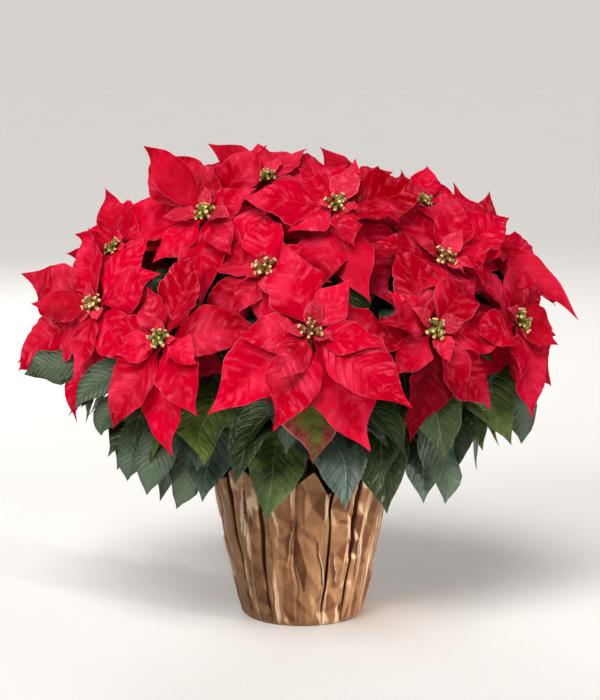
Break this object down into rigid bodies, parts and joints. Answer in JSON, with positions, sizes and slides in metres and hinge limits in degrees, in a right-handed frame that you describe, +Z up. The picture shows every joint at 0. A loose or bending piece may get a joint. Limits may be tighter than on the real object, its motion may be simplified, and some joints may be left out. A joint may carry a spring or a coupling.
{
  "type": "potted poinsettia",
  "caption": "Red poinsettia with a dome of star-shaped bracts over dark green leaves, in a round grower's pot inside a pleated copper foil sleeve.",
  "frame": {"origin": "centre of the foil sleeve's round underside, on the surface that it stands on", "axes": "+Z up through the pot's middle, -Y the front, +X to the right as seen from the front"},
  "size_m": [0.5227, 0.4353, 0.4491],
  "materials": {
    "red_bract": "velvety matt, crimson, with fine raised veins",
    "green_leaf": "dark green leaf with a soft bluish sheen and pale veins",
    "flower_cluster": "small waxy yellow-green buds",
    "copper_foil": "crinkled metallic copper paper, satin",
    "pot_plastic": "plain brown moulded plastic",
    "peat_soil": "dark crumbly peat"
  },
  "bodies": {
    "root": {"bloom_01_cluster": "flower_cluster", "bloom_01_bracts": "red_bract", "bloom_02_cluster": "flower_cluster", "bloom_02_bracts": "red_bract", "bloom_03_cluster": "flower_cluster", "bloom_03_bracts": "red_bract", "bloom_04_cluster": "flower_cluster", "bloom_04_bracts": "red_bract", "bloom_05_cluster": "flower_cluster", "bloom_05_bracts": "red_bract", "bloom_06_cluster": "flower_cluster", "bloom_06_bracts": "red_bract", "bloom_07_cluster": "flower_cluster", "bloom_07_bracts": "red_bract", "bloom_08_cluster": "flower_cluster", "bloom_08_bracts": "red_bract", "bloom_09_cluster": "flower_cluster", "bloom_09_bracts": "red_bract", "bloom_10_cluster": "flower_cluster", "bloom_10_bracts": "red_bract", "bloom_11_cluster": "flower_cluster", "bloom_11_bracts": "red_bract", "bloom_12_cluster": "flower_cluster", "bloom_12_bracts": "red_bract", "bloom_13_cluster": "flower_cluster", "bloom_13_bracts": "red_bract", "bloom_14_cluster": "flower_cluster", "bloom_14_bracts": "red_bract", "bloom_15_cluster": "flower_cluster", "bloom_15_bracts": "red_bract", "bloom_16_cluster": "flower_cluster", "bloom_16_bracts": "red_bract", "bloom_17_cluster": "flower_cluster", "bloom_17_bracts": "red_bract", "bloom_18_cluster": "flower_cluster", "bloom_18_bracts": "red_bract", "bloom_19_cluster": "flower_cluster", "bloom_19_bracts": "red_bract", "bloom_20_cluster": "flower_cluster", "bloom_20_bracts": "red_bract", "bloom_21_cluster": "flower_cluster", "bloom_21_bracts": "red_bract", "bloom_22_cluster": "flower_cluster", "bloom_22_bracts": "red_bract", "bloom_23_cluster": "flower_cluster", "bloom_23_bracts": "red_bract", "leafy_stem_front": "green_leaf", "leafy_stem_right": "green_leaf", "leafy_stem_back_right": "green_leaf", "leafy_stem_back_left": "green_leaf", "leafy_stem_left": "green_leaf", "pot_cover": "copper_foil", "grower_pot": "pot_plastic", "soil": "peat_soil"}
  },
  "joints": []
}
